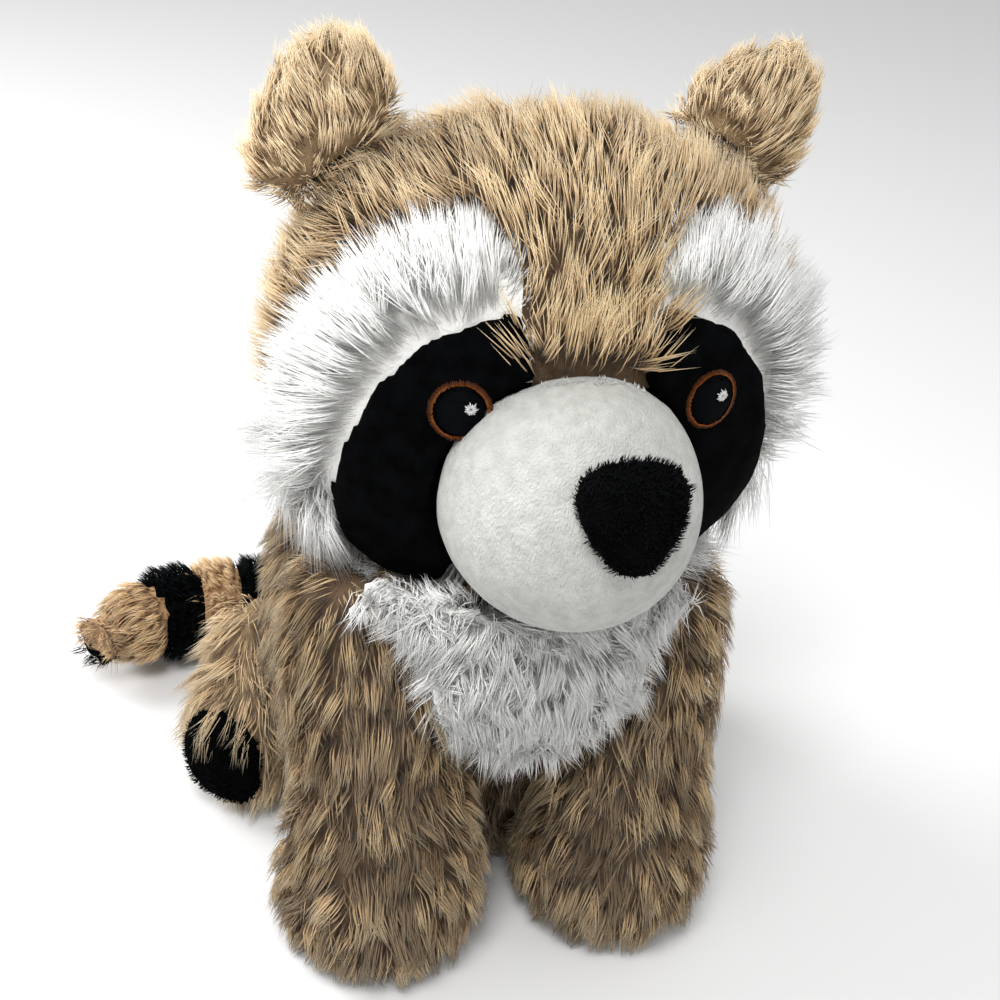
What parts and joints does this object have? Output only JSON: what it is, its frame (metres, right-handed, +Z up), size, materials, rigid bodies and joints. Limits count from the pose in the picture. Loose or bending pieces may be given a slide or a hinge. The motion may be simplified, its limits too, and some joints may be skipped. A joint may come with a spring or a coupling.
{
  "type": "plush raccoon",
  "caption": "Seated plush raccoon with a rounded head, white muzzle and cheeks, black eye masks and a banded tail, for play or display on a flat surface.",
  "frame": {"origin": "on the floor plane, on the flat underside of the body", "axes": "+Z up, the face looks towards -Y, the toy's right side is at -X"},
  "size_m": [0.2478, 0.2744, 0.3127],
  "materials": {
    "brown_pile": "long matte pile",
    "tan_pile": "long matte pile",
    "white_pile": "long matte pile",
    "short_white_pile": "short matte pile",
    "black_pile": "short matte pile",
    "black_velvet": "velvet",
    "copper_thread": "shiny embroidery thread",
    "black_thread": "embroidery thread",
    "white_thread": "embroidery thread",
    "fibre": "loose fibre"
  },
  "bodies": {
    "root": {"head_crown": "brown_pile", "ear_right": "brown_pile", "ear_left": "brown_pile", "body_fur": "brown_pile", "front_leg_right": "brown_pile", "front_leg_left": "brown_pile", "hind_leg_right": "brown_pile", "hind_leg_left": "brown_pile", "tail_root": "tan_pile", "tail_middle": "tan_pile", "tail_end": "tan_pile", "cheek_ruff_right": "white_pile", "cheek_ruff_left": "white_pile", "chest_bib": "white_pile", "muzzle": "short_white_pile", "eye_mask_right": "black_pile", "eye_mask_left": "black_pile", "sole_right": "black_pile", "sole_left": "black_pile", "tail_band_inner": "black_pile", "tail_band_outer": "black_pile", "tail_tip": "black_pile", "nose": "black_velvet", "iris_ring_right": "copper_thread", "iris_ring_left": "copper_thread", "pupil_right": "black_thread", "pupil_left": "black_thread", "eye_glint_right": "white_thread", "eye_glint_left": "white_thread", "head_stuffing": "fibre", "muzzle_stuffing": "fibre", "body_stuffing": "fibre", "front_leg_stuffing_right": "fibre", "front_leg_stuffing_left": "fibre", "hind_leg_stuffing_right": "fibre", "hind_leg_stuffing_left": "fibre", "tail_stuffing": "fibre"}
  },
  "joints": []
}
